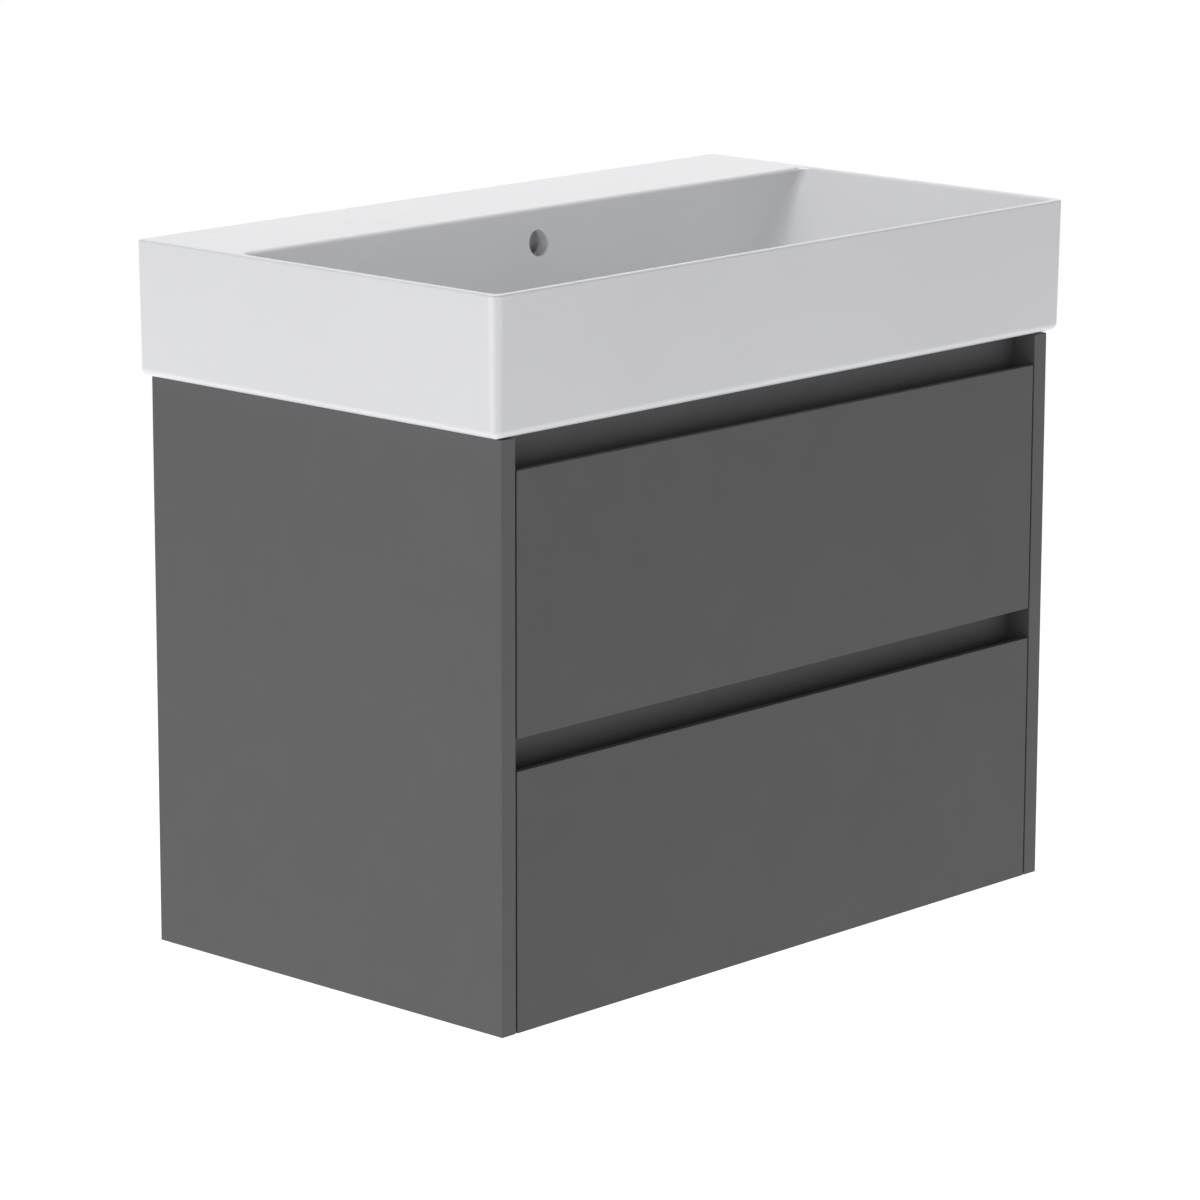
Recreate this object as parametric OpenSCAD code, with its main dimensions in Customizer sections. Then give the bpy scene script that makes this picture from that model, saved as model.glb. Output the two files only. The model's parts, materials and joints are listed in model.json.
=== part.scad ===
// Wall-hung bathroom vanity: a two-drawer handleless cabinet under a full-width ceramic basin.
// X runs to the right, +Y points at the wall and +Z up. The origin is on the wall,
// at the centre of the four screw holes of the two wall plates that carry the unit.

/* [Basin] */
// Overall width of the basin
basin_w = 800; // [600:10:1200]
// Overall depth of the basin, from the wall to its front
basin_d = 465; // [400:5:560]
// Height of the basin's outer wall
basin_h = 130; // [110:5:160]
// Thickness of the rim along the front and the sides
rim_t = 8; // [6:1:12]
// Depth of the flat ledge behind the bowl
ledge_d = 132; // [110:2:160]
// Depth of the bowl below the rim
bowl_depth = 104; // [85:1:106]
// How far each side of the bowl leans in on its way down
bowl_side_run = 78; // [20:2:100]
// How far the front of the bowl leans in on its way down
bowl_front_run = 34; // [10:2:60]
// How far the rear of the bowl leans in on its way down
bowl_rear_run = 8; // [4:1:12]
// Wall thickness of the ceramic under the bowl
ceramic_t = 10; // [7:1:12]
// Radius of the basin's two front corners
basin_corner_r = 9; // [4:1:16]
// Radius of the basin's lower edge
basin_foot_r = 7; // [3:1:12]
// How much smaller the basin is at its foot than at its rim, on each side
basin_draft = 2; // [0:0.5:4]
// Diameter of the waste hole
waste_d = 46; // [40:1:52]
// Diameter of the overflow hole
overflow_d = 25; // [16:1:30]
// Depth of the overflow hole's centre below the rim
overflow_drop = 34; // [26:1:44]
// Diameter of the two wall-bolt holes in the basin's back
wall_bolt_hole_d = 14; // [10:1:18]
// Distance between the two wall-bolt holes
wall_bolt_pitch = 280; // [180:10:320]

/* [Cabinet] */
// Height of the cabinet below the basin
cabinet_h = 550; // [440:10:700]
// How far the basin overhangs the cabinet on each side
side_overhang = 15; // [5:1:30]
// How far the basin overhangs the cabinet at the front
front_overhang = 8; // [2:1:20]
// Thickness of the carcass panels
panel_t = 18; // [15:1:22]
// Thickness of the drawer fronts
front_t = 18; // [15:1:22]
// Gap between a drawer front and a side panel
front_gap = 1.75; // [1:0.25:4]
// Height of the two finger recesses above the fronts
recess_h = 30; // [22:1:40]
// Depth of the finger recesses behind the plane of the fronts
recess_depth = 27; // [25:1:36]
// Size of the finger bevel behind a front's top edge
finger_bevel = 11; // [6:1:14]
// Depth of the upper rear rail that carries the basin
top_rail_d = 60; // [50:1:70]
// Height of the two rear rails
back_rail_h = 105; // [90:5:120]
// Space between the rear rails and the wall
wall_space = 18; // [15:1:24]

/* [Drawers] */
// Thickness of the drawer box's sides and inner front
box_t = 15; // [12:1:18]
// Thickness of the drawer bases
base_t = 12; // [8:1:16]
// Thickness of the backs and of the panels around the trap cut-out
back_t = 12; // [9:1:16]
// Gap between a drawer box and a side panel
box_side_gap = 6; // [5:0.5:9]
// Gap between a drawer box and the rear rails
box_rear_gap = 14; // [8:1:24]
// Width of the upper drawer's cut-out around the trap
cutout_w = 220; // [160:5:280]

/* [Fittings] */
// Sheet thickness of the runners
rail_t = 1.5; // [1:0.25:2]
// Height of the runner flange against the side panel
flange_h = 42; // [32:1:48]
// Running clearance between two runner members
rail_gap = 3; // [2:0.25:3.5]
// Diameter of the holes in the wall plates
plate_hole_d = 7; // [5:0.5:9]
// Height of one wall-plate hole above the other
plate_hole_pitch = 24; // [20:1:28]
// Diameter of the wooden dowels
dowel_d = 8; // [6:1:8]
// Thickness of the sealant bed under the basin
sealant_t = 1.5; // [1:0.5:3]

/* [Hidden] */
$fn = 48;

// Colours
anthracite = "#575759";
ceramic = "#eceef0";
zinc = "#b4b8bc";
box_grey = "#c9c8c4";
plastic_grey = "#8d9094";

LEFT = -1;
RIGHT = 1;
over = 1;        // how far a cut runs past the surface it opens

// Carcass: outer and inner half widths, and the plane of the fronts
half_w = basin_w / 2 - side_overhang;
inner = half_w - panel_t;
front_y = front_overhang - basin_d;
front_back_y = front_y + front_t;
rail_y = front_y + recess_depth;
back_y = -wall_space;
back_front_y = back_y - panel_t;

// Levels above the underside of the cabinet
front_h = cabinet_h / 2 - recess_h;
middle_z = front_h;
upper_front_z = front_h + recess_h;
upper_recess_z = cabinet_h - recess_h;
rail_below = 22;     // how far a recess rail reaches down behind a front
rail_above = 5;      // how far the middle rail reaches up behind the upper front
middle_rail_z = middle_z - rail_below;
middle_rail_top = upper_front_z + rail_above;
basin_z = cabinet_h + sealant_t;

// Hangers: a body on each side panel, and a hook through the rear rail onto a wall plate
hanger_w = 34;
hanger_l = 50;
hanger_h = 64;
hanger_drop = 31;    // from the cabinet's top down to the hanger
hanger_z = cabinet_h - hanger_drop - hanger_h;
hanger_y = back_front_y - hanger_l;
hook_t = 3;
hook_u = 15.5;       // from the side panel's inner face to the middle of the hook
hook_bar_h = 14;
hook_z = hanger_z + 45;      // where the hook rests on the wall plate
hook_tip = 4;
hook_tip_y = -3.5;
peg_d = 10;
peg_l = 10;
plate_w = 40;
plate_u = 22;        // from the side panel's inner face to the wall plate's holes
plate_t = 2.5;
plate_lip_h = 14;
plate_y = -11;       // how far the wall plate's lip stands off the wall
plate_edge = 10;     // from a hole's centre to the plate's end
hang_h = hook_z - plate_lip_h - plate_edge - plate_hole_pitch / 2 - plate_t;

// Runners, seen along Y: u is the distance from the side panel's inner face, z from the rail's foot
chan_u = box_side_gap + box_t + 3;
chan_w = 26;
chan_h = 14;
box_z = 15;          // underside of the drawer box's sides
base_z = 28;         // underside of the drawer base
mid_u = chan_u + rail_t + rail_gap;
mid_w = chan_w - 2 * (rail_t + rail_gap);
slide_play = 0.1;    // between the faces that carry one member on the next
mid_foot = rail_t + slide_play;
mid_top = base_z - rail_t - slide_play;
lower_rail_z = panel_t + 1;
upper_rail_z = middle_rail_top + 3;

// Drawer boxes
box_half = inner - box_side_gap;
box_inner = box_half - box_t;
box_back_y = back_front_y - box_rear_gap;
box_top_gap = 6;     // clear height above a drawer box
groove_d = 6;
upper_box_top = hanger_z - box_top_gap;
lower_box_top = middle_rail_z - box_top_gap - 22;
clip_l = 43;
clip_y = front_back_y + box_t;
member_y = clip_y + clip_l + 2;
fixed_y = clip_y + 4;

// Basin: the waste stands near the rear of the bowl
waste_y = -(ledge_d + 83);
boss_d = 72;
boss_drop = 16;
seat_d = 64;         // recess for the waste fitting's flange
seat_h = 3;
floor_r = 20;
foot_r = min(basin_foot_r, basin_corner_r - basin_draft - 0.5);
behind = 30;         // how far the outer form runs on behind the wall before it is cut flat
bowl_corner_r = 10;
mouth_band = 2;      // height of the upright band at the bowl's mouth
bowl_floor_z = basin_h - bowl_depth;
roof_t = 12;
skin_t = 12;
land = 50;           // width of the foot that rests on the cabinet
rear_land = 75;
duct_w = 32;
duct_d = 10;
duct_wall = 8;
duct_y = ceramic_t - ledge_d;    // front of the overflow duct
duct_foot = -8;
wall_bolt_z = 72;    // height of the wall-bolt holes above the basin's foot
cut_y = waste_y - 65;            // front of the trap cut-out
cut_outer = cutout_w / 2 + back_t;

// Points where dowels and cams join a cross member to the side panels: [y, z]
mid_t = panel_t / 2;
rail_mid_y = rail_y + mid_t;
back_mid_y = back_y - mid_t;
top_z = cabinet_h - mid_t;
bottom_front_y = front_back_y + 2;
DOWELS = [
    [bottom_front_y + 30, mid_t], [(bottom_front_y + back_front_y) / 2, mid_t], [back_front_y - 24, mid_t],
    [rail_mid_y, cabinet_h - 12], [rail_mid_y, upper_recess_z - 8],
    [rail_mid_y, middle_rail_z + 12], [rail_mid_y, middle_rail_top - 12],
    [back_front_y - 12, top_z], [back_front_y - top_rail_d + 12, top_z],
    [back_mid_y, cabinet_h - 12], [back_mid_y, cabinet_h - back_rail_h + 12],
    [back_mid_y, panel_t + 14], [back_mid_y, panel_t + back_rail_h - 14]
];
// Cams in lying panels: [y, z]. The housing opens upwards in the bottom panel, downwards in the top rail.
LYING_CAMS = [
    [bottom_front_y + 90, mid_t], [back_front_y - 84, mid_t], [back_front_y - top_rail_d / 2, top_z]
];
// Cams in standing rails: [y, z]. The housing opens to the rear in front rails, to the front in back rails.
STANDING_CAMS = [
    [rail_mid_y, upper_recess_z + 6], [rail_mid_y, (middle_rail_z + middle_rail_top) / 2],
    [back_mid_y, cabinet_h - 28], [back_mid_y, panel_t + back_rail_h / 2]
];
dowel_in = 11;       // depth of a dowel in the side panel
dowel_out = 19;      // depth of a dowel in the cross member
cam_d = 15;
cam_h = 12.5;
cam_reach = 24;      // from the side panel to the cam's centre
cam_bolt_d = 7;
cam_bolt_in = 11;
screw_d = 4;
screw_in = 11;
head_d = 8;
head_h = 2;
runner_screw_z = 31;     // height of the runner screws in the flange
front_screw_d = 4;
front_screw_in = 12;

// Moves the cabinet so that its origin is at the wall plates' holes
module hung() translate([0, 0, -hang_h]) children();

// A box from its low corner to its high corner
module block(low, high) translate(low) cube(high - low);

// The lower X of a stretch on one side, with u counted from the side panel's inner face inwards
function low_x(side, u) = side > 0 ? inner - u[1] : u[0] - inner;

// A box on one side
module side_block(side, u, y, z)
    translate([low_x(side, u), y[0], z[0]]) cube([u[1] - u[0], y[1] - y[0], z[1] - z[0]]);

// A rod along X on one side
module side_rod(side, u, y, z, d)
    translate([low_x(side, u), y, z]) rotate([0, 90, 0]) cylinder(h = u[1] - u[0], d = d);

// A rod along Y
module depth_rod(x, y, z, d) translate([x, y[1], z]) rotate([90, 0, 0]) cylinder(h = y[1] - y[0], d = d);

// ---------------------------------------------------------------- carcass joinery
module dowels(side)
    for (p = DOWELS) side_rod(side, [-dowel_in, dowel_out], p[0], p[1], dowel_d);

module cam_bolt_rods(side)
    for (p = concat(LYING_CAMS, STANDING_CAMS))
        side_rod(side, [-cam_bolt_in, cam_reach], p[0], p[1], cam_bolt_d);

// Cam housings, as plain discs
module cam_discs(side) {
    for (p = LYING_CAMS) {
        foot = p[1] > cabinet_h / 2 ? cabinet_h - panel_t : panel_t - cam_h;
        translate([side * (inner - cam_reach), p[0], foot]) cylinder(h = cam_h, d = cam_d);
    }
    for (p = STANDING_CAMS) {
        start = p[0] < front_y / 2 ? rail_y + panel_t - cam_h : back_front_y;
        depth_rod(side * (inner - cam_reach), [start, start + cam_h], p[1], cam_d);
    }
}

// Everything that is drilled for the joints between side panels and cross members
module joinery() {
    for (side = [LEFT, RIGHT]) {
        dowels(side);
        cam_bolt_rods(side);
        cam_discs(side);
    }
}

module carcass_dowels() color("burlywood") hung() for (side = [LEFT, RIGHT]) dowels(side);

module cam_bolts() color(zinc) hung() for (side = [LEFT, RIGHT]) cam_bolt_rods(side);

module cam_housings() color(zinc) hung() for (side = [LEFT, RIGHT]) difference() {
    cam_discs(side);
    cam_bolt_rods(side);
}

// ---------------------------------------------------------------- carcass panels
module runner_screw_rods(side, d, u)
    for (foot = [lower_rail_z, upper_rail_z]) for (y = runner_screw_ys())
        side_rod(side, u, y, foot + runner_screw_z, d);

function runner_screw_ys() = [fixed_y + 20, (fixed_y + box_back_y) / 2, box_back_y - 20];

module hanger_pegs(side)
    for (z = [hanger_z + 16, hanger_z + hanger_h - 16])
        side_rod(side, [-peg_l, 0], hanger_y + hanger_l / 2, z, peg_d);

module side_panel(side) color(anthracite) hung() difference() {
    side_block(side, [-panel_t, 0], [front_y, 0], [0, cabinet_h]);
    dowels(side);
    cam_bolt_rods(side);
    hanger_pegs(side);
    runner_screw_rods(side, screw_d, [-screw_in, over]);
}

module side_panel_left() side_panel(LEFT);
module side_panel_right() side_panel(RIGHT);

module bottom_panel() color(anthracite) hung() difference() {
    block([-inner, bottom_front_y, 0], [inner, back_y, panel_t]);
    joinery();
}

module recess_rail(low, high) color(anthracite) hung() difference() {
    block([-inner, rail_y, low], [inner, rail_y + panel_t, high]);
    joinery();
}

module upper_recess_rail() recess_rail(upper_recess_z - rail_below, cabinet_h);
module middle_recess_rail() recess_rail(middle_rail_z, middle_rail_top);

module top_rail() color(anthracite) hung() difference() {
    block([-inner, back_front_y - top_rail_d, cabinet_h - panel_t], [inner, back_front_y, cabinet_h]);
    joinery();
}

// Slots in the upper rear rail that let the hanger hooks through
hook_slot_w = hook_t + 5;
hook_slot_z = [hook_z - 8, hook_z + hook_bar_h + 5];

module back_rail_upper() color(anthracite) hung() difference() {
    block([-inner, back_front_y, cabinet_h - back_rail_h], [inner, back_y, cabinet_h]);
    joinery();
    for (side = [LEFT, RIGHT]) side_block(side, [hook_u - hook_slot_w / 2, hook_u + hook_slot_w / 2],
        [back_front_y - over, back_y + over], hook_slot_z);
}

module back_rail_lower() color(anthracite) hung() difference() {
    block([-inner, back_front_y, panel_t], [inner, back_y, panel_t + back_rail_h]);
    joinery();
}

// ---------------------------------------------------------------- basin
// One corner of the basin's outer form: a drafted post with a rounded foot
module corner_post(x, y) translate([x, y, 0]) rotate_extrude($fn = 32) polygon(concat(
    [[0, 0]],
    [for (a = [0:15:90]) [basin_corner_r - basin_draft - foot_r * (1 - sin(a)), foot_r * (1 - cos(a))]],
    [[basin_corner_r, basin_h], [0, basin_h]]
));

// The basin's outer form; its back is flat against the wall
module basin_block() difference() {
    hull() for (s = [LEFT, RIGHT]) for (y = [basin_corner_r - basin_d, behind])
        corner_post(s * (basin_w / 2 - basin_corner_r), y);
    block([-basin_w, 0, -over], [basin_w, 2 * behind, basin_h + over]);
}

// The bowl, or with grow its outer skin: a mouth with four corners above four rounded floor corners
module bowl_form(grow, top) {
    corner = bowl_corner_r + grow;
    half = basin_w / 2 - rim_t - bowl_corner_r;
    front = rim_t + bowl_corner_r - basin_d;
    rear = -ledge_d - bowl_corner_r;
    floor_half = basin_w / 2 - rim_t - bowl_side_run - floor_r;
    floor_front = rim_t + bowl_front_run + floor_r - basin_d;
    floor_rear = -ledge_d - bowl_rear_run - floor_r;
    hull() for (s = [LEFT, RIGHT]) {
        for (y = [front, rear]) translate([s * half, y, basin_h - mouth_band])
            cylinder(h = top - basin_h + mouth_band, r = corner, $fn = 32);
        for (y = [floor_front, floor_rear]) translate([s * floor_half, y, bowl_floor_z + floor_r])
            sphere(r = floor_r + grow, $fn = 32);
    }
}

// The hollow under the ceramic: a mouth inside the foot, and a wider space above the foot
module basin_hollow() {
    block([land - basin_w / 2, land - basin_d, -over], [basin_w / 2 - land, -rear_land, basin_h - roof_t]);
    block([skin_t - basin_w / 2, skin_t - basin_d, skin_t],
        [basin_w / 2 - skin_t, -skin_t, basin_h - roof_t]);
}

// Overflow duct, down behind the bowl and forward under it to the waste hole
module overflow_duct(wall) {
    half = duct_w / 2 + wall;
    block([-half, duct_y - wall, duct_foot - wall],
        [half, duct_y + duct_d + wall, basin_h - overflow_drop + overflow_d / 2 + wall]);
    block([-half, waste_y, duct_foot - wall], [half, duct_y + over, duct_foot + 12 + wall]);
}

module basin() color(ceramic) hung() translate([0, 0, basin_z]) difference() {
    union() {
        difference() {
            basin_block();
            basin_hollow();
        }
        intersection() {
            basin_block();
            bowl_form(ceramic_t, basin_h);
        }
        overflow_duct(duct_wall);
        translate([0, waste_y, -boss_drop]) cylinder(h = boss_drop + bowl_floor_z, d = boss_d);
    }
    bowl_form(0, basin_h + over);
    overflow_duct(0);
    translate([0, waste_y, -boss_drop - over]) cylinder(h = basin_h, d = waste_d);
    translate([0, waste_y, bowl_floor_z - seat_h]) cylinder(h = basin_h, d = seat_d);
    depth_rod(0, [-ledge_d - bowl_rear_run, duct_y + duct_d / 2], basin_h - overflow_drop, overflow_d);
    for (s = [LEFT, RIGHT])
        depth_rod(s * wall_bolt_pitch / 2, [-skin_t - over, over], wall_bolt_z, wall_bolt_hole_d);
}

// A ring of sealant on the side panels, the front rail and the top rail
module basin_sealant() color("gainsboro") hung() translate([0, 0, cabinet_h]) {
    bead = 3;
    x = inner + mid_t;
    rear = back_front_y - top_rail_d / 2;
    difference() {
        block([-x - bead, rail_mid_y - bead, 0], [x + bead, rear + bead, sealant_t]);
        block([bead - x, rail_mid_y + bead, -over], [x - bead, rear - bead, sealant_t + over]);
    }
}

// ---------------------------------------------------------------- wall hangers
adjuster_d = 6;
adjuster_zs = [hanger_z + 14, hanger_z + 34];
hook_slack = 0.5;
hook_inset = 12;     // from the hanger's front to the hook's front end

// The hook's flat profile, in Y and Z
module hook_profile() {
    translate([hanger_y + hook_inset, hook_z]) square([hook_tip_y - hanger_y - hook_inset, hook_bar_h]);
    translate([hook_tip_y - hook_tip, hook_z - 11]) square([hook_tip, 11]);
}

module hook(side) translate([side * (inner - hook_u) - hook_t / 2, 0, 0])
    rotate([90, 0, 90]) linear_extrude(hook_t) hook_profile();

module adjuster_rods(side) for (z = adjuster_zs)
    depth_rod(side * (inner - hook_u), [hanger_y - 2, hanger_y + 30], z, adjuster_d);

module hanger_body(side) color(plastic_grey) hung() difference() {
    union() {
        side_block(side, [0, hanger_w], [hanger_y, back_front_y], [hanger_z, hanger_z + hanger_h]);
        hanger_pegs(side);
    }
    side_block(side, [hook_u - hook_t / 2 - hook_slack, hook_u + hook_t / 2 + hook_slack],
        [hanger_y + hook_inset - hook_slack, back_front_y + over],
        [hook_z - hook_slack, hook_z + hook_bar_h + hook_slack]);
    adjuster_rods(side);
}

module hanger_body_left() hanger_body(LEFT);
module hanger_body_right() hanger_body(RIGHT);
module hanger_hooks() color(zinc) hung() for (side = [LEFT, RIGHT]) hook(side);
module hanger_adjusters() color(zinc) hung() for (side = [LEFT, RIGHT]) adjuster_rods(side);

module wall_plate(side) color(zinc) hung() difference() {
    union() {
        u = [plate_u - plate_w / 2, plate_u + plate_w / 2];
        step_z = hook_z - plate_lip_h;
        side_block(side, u, [-plate_t, 0], [hang_h - plate_hole_pitch / 2 - plate_edge, step_z]);
        side_block(side, u, [plate_y, 0], [step_z - plate_t, step_z]);
        side_block(side, u, [plate_y, plate_y + plate_t], [step_z - plate_t, hook_z]);
    }
    for (s = [-1, 1]) depth_rod(side * (inner - plate_u), [-plate_t - over, over],
        hang_h + s * plate_hole_pitch / 2, plate_hole_d);
}

module wall_plate_left() wall_plate(LEFT);
module wall_plate_right() wall_plate(RIGHT);

// ---------------------------------------------------------------- runners
module fixed_rail(side, foot) color(zinc) hung() difference() {
    y = [fixed_y, box_back_y];
    union() {
        side_block(side, [0, chan_u + chan_w], y, [foot, foot + rail_t]);
        side_block(side, [0, rail_t], y, [foot, foot + flange_h]);
        side_block(side, [chan_u, chan_u + rail_t], y, [foot, foot + chan_h]);
        side_block(side, [chan_u + chan_w - rail_t, chan_u + chan_w], y, [foot, foot + chan_h]);
    }
    runner_screw_rods(side, screw_d, [-over, rail_t + over]);
}

// A downward-open channel on one side
module cap_channel(side, u, z, y) {
    side_block(side, u, y, [z[1] - rail_t, z[1]]);
    side_block(side, [u[0], u[0] + rail_t], y, z);
    side_block(side, [u[1] - rail_t, u[1]], y, z);
}

module mid_rail(side, foot) color("#c6c9cc") hung()
    cap_channel(side, [mid_u, mid_u + mid_w], [foot + mid_foot, foot + mid_top],
        [member_y, box_back_y - 6]);

module drawer_rail(side, foot) color("#a5a9ad") hung()
    cap_channel(side, [chan_u, chan_u + chan_w], [foot + chan_h + rail_t, foot + base_z],
        [member_y, box_back_y - 6]);

module upper_fixed_rail_left() fixed_rail(LEFT, upper_rail_z);
module upper_fixed_rail_right() fixed_rail(RIGHT, upper_rail_z);
module lower_fixed_rail_left() fixed_rail(LEFT, lower_rail_z);
module lower_fixed_rail_right() fixed_rail(RIGHT, lower_rail_z);
module upper_mid_rail_left() mid_rail(LEFT, upper_rail_z);
module upper_mid_rail_right() mid_rail(RIGHT, upper_rail_z);
module lower_mid_rail_left() mid_rail(LEFT, lower_rail_z);
module lower_mid_rail_right() mid_rail(RIGHT, lower_rail_z);
module upper_drawer_rail_left() drawer_rail(LEFT, upper_rail_z);
module upper_drawer_rail_right() drawer_rail(RIGHT, upper_rail_z);
module lower_drawer_rail_left() drawer_rail(LEFT, lower_rail_z);
module lower_drawer_rail_right() drawer_rail(RIGHT, lower_rail_z);

module runner_screws() color(zinc) hung() for (side = [LEFT, RIGHT]) {
    runner_screw_rods(side, screw_d, [-screw_in, rail_t]);
    runner_screw_rods(side, head_d, [rail_t, rail_t + head_h]);
}

// Soft-close units: a housing and its damper cylinder beside each fixed rail's channel
module soft_close_units() color(plastic_grey) hung() for (side = [LEFT, RIGHT])
    for (foot = [lower_rail_z, upper_rail_z]) {
        y = [box_back_y - 150, box_back_y - 20];
        side_block(side, [rail_t + 2, chan_u - 3], [y[0] + 50, y[1]], [foot + rail_t, foot + box_z - 3]);
        depth_rod(side * (inner - (rail_t + chan_u - 1) / 2), [y[0], y[0] + 50], foot + rail_t + 5, 8);
    }

// ---------------------------------------------------------------- drawers
// A front with a bevel behind its top edge, where the fingers reach in
module drawer_front(z) {
    half = inner - front_gap;
    difference() {
        translate([-half, 0, 0]) rotate([90, 0, 90]) linear_extrude(2 * half) polygon([
            [front_y, z], [front_back_y, z], [front_back_y, z + front_h - finger_bevel],
            [front_back_y - finger_bevel, z + front_h], [front_y, z + front_h]
        ]);
        front_screw_rods(z);
    }
}

// Where the screws that hold a front stand, above the front's lower edge
front_screw_zs = [70, 130];
front_screw_x = box_inner - 60;

module front_screw_rods(z) for (x = [-front_screw_x, front_screw_x]) for (h = front_screw_zs)
    depth_rod(x, [front_back_y - front_screw_in, clip_y], z + h, front_screw_d);

module front_screws(z) color(zinc) hung() {
    front_screw_rods(z);
    for (x = [-front_screw_x, front_screw_x]) for (h = front_screw_zs)
        depth_rod(x, [clip_y, clip_y + head_h], z + h, head_d);
}

module base_slab(foot, grow) block([-box_inner - grow, clip_y - grow, foot + base_z],
    [box_inner + grow, box_back_y, foot + base_z + base_t]);

module box_front(foot, top, z) color(box_grey) hung() difference() {
    block([-box_inner, front_back_y, foot + box_z], [box_inner, clip_y, top]);
    base_slab(foot, groove_d);
    front_screw_rods(z);
}

module box_side(side, foot, top) color(box_grey) hung() difference() {
    side_block(side, [box_side_gap, box_side_gap + box_t], [front_back_y, box_back_y], [foot + box_z, top]);
    base_slab(foot, groove_d);
}

module upper_front() color(anthracite) hung() drawer_front(upper_front_z);
module lower_front() color(anthracite) hung() drawer_front(0);
module upper_front_screws() front_screws(upper_front_z);
module lower_front_screws() front_screws(0);
module upper_box_front() box_front(upper_rail_z, upper_box_top, upper_front_z);
module lower_box_front() box_front(lower_rail_z, lower_box_top, 0);
module upper_box_side_left() box_side(LEFT, upper_rail_z, upper_box_top);
module upper_box_side_right() box_side(RIGHT, upper_rail_z, upper_box_top);
module lower_box_side_left() box_side(LEFT, lower_rail_z, lower_box_top);
module lower_box_side_right() box_side(RIGHT, lower_rail_z, lower_box_top);

module upper_box_base() color(box_grey) hung() difference() {
    base_slab(upper_rail_z, groove_d);
    block([-cutout_w / 2, cut_y, 0], [cutout_w / 2, over, cabinet_h]);
}

module lower_box_base() color(box_grey) hung() base_slab(lower_rail_z, groove_d);

// Panels that stand on a base
module standing_panel(low, high, foot, top) color(box_grey) hung()
    block([low[0], low[1], foot + base_z + base_t], [high[0], high[1], top]);

module upper_standing(low, high) standing_panel(low, high, upper_rail_z, upper_box_top);
module upper_box_back_left() upper_standing([-box_inner, box_back_y - back_t], [-cut_outer, box_back_y]);
module upper_box_back_right() upper_standing([cut_outer, box_back_y - back_t], [box_inner, box_back_y]);
module upper_cutout_left() upper_standing([-cut_outer, cut_y], [-cutout_w / 2, box_back_y]);
module upper_cutout_right() upper_standing([cutout_w / 2, cut_y], [cut_outer, box_back_y]);
module upper_cutout_front() upper_standing([-cut_outer, cut_y - back_t], [cut_outer, cut_y]);
module lower_box_back()
    standing_panel([-box_inner, box_back_y - back_t], [box_inner, box_back_y], lower_rail_z, lower_box_top);

// ---------------------------------------------------------------- front clips and their release levers
clip_plate_t = 4;
clip_w = 46;
lever_u = chan_u + 37;
lever_y = clip_y + 21;
pivot_d = 6;
lever_play = 0.3;
lever_d = 12;
lever_tab_l = 18;
lever_tab_w = 6;
pivot_head_d = 9;
pivot_foot = chan_h + 2.5;       // underside of the pivot's head
pivot_head_h = 1.5;
lever_gap = 0.25;                // above and below the lever
lever_foot = pivot_foot + pivot_head_h + lever_gap;
lever_h = base_z - clip_plate_t - lever_gap - lever_foot;

// A clip under the base: a plate, a catch block in front of the runner, and the lever's pivot
module clip(side, foot) color(plastic_grey) hung() {
    top = foot + base_z;
    y = [clip_y, clip_y + clip_l];
    side_block(side, [chan_u, chan_u + clip_w], y, [top - clip_plate_t, top]);
    side_block(side, [chan_u, chan_u + 28], y, [foot + chan_h + 2, top - clip_plate_t]);
    translate([side * (inner - lever_u), lever_y, foot + pivot_foot]) {
        cylinder(h = base_z - clip_plate_t - pivot_foot, d = pivot_d);
        cylinder(h = pivot_head_h, d = pivot_head_d);
    }
}

module lever(side, foot) color("darkorange") hung()
    translate([side * (inner - lever_u), lever_y, foot + lever_foot]) difference() {
        union() {
            cylinder(h = lever_h, d = lever_d);
            block([-lever_tab_w / 2, -lever_tab_l, 0], [lever_tab_w / 2, 0, lever_h]);
        }
        translate([0, 0, -over]) cylinder(h = lever_h + 2 * over, d = pivot_d + 2 * lever_play);
    }

module upper_clip_left() clip(LEFT, upper_rail_z);
module upper_clip_right() clip(RIGHT, upper_rail_z);
module lower_clip_left() clip(LEFT, lower_rail_z);
module lower_clip_right() clip(RIGHT, lower_rail_z);
module upper_lever_left() lever(LEFT, upper_rail_z);
module upper_lever_right() lever(RIGHT, upper_rail_z);
module lower_lever_left() lever(LEFT, lower_rail_z);
module lower_lever_right() lever(RIGHT, lower_rail_z);

side_panel_left();
side_panel_right();
bottom_panel();
upper_recess_rail();
middle_recess_rail();
top_rail();
back_rail_upper();
back_rail_lower();
basin();
basin_sealant();
hanger_body_left();
hanger_body_right();
hanger_hooks();
hanger_adjusters();
wall_plate_left();
wall_plate_right();
carcass_dowels();
cam_housings();
cam_bolts();
upper_fixed_rail_left();
upper_fixed_rail_right();
lower_fixed_rail_left();
lower_fixed_rail_right();
runner_screws();
soft_close_units();
upper_front();
upper_box_front();
upper_box_side_left();
upper_box_side_right();
upper_box_back_left();
upper_box_back_right();
upper_cutout_left();
upper_cutout_right();
upper_cutout_front();
upper_box_base();
upper_drawer_rail_left();
upper_drawer_rail_right();
upper_clip_left();
upper_clip_right();
upper_front_screws();
upper_mid_rail_left();
upper_mid_rail_right();
lower_front();
lower_box_front();
lower_box_side_left();
lower_box_side_right();
lower_box_back();
lower_box_base();
lower_drawer_rail_left();
lower_drawer_rail_right();
lower_clip_left();
lower_clip_right();
lower_front_screws();
lower_mid_rail_left();
lower_mid_rail_right();
upper_lever_left();
upper_lever_right();
lower_lever_left();
lower_lever_right();
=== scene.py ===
"""Wall-hung bathroom vanity: a matt anthracite two-drawer cabinet under a white ceramic basin."""
import json
import math

import bmesh
import bpy
from mathutils import Matrix, Vector


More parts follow.
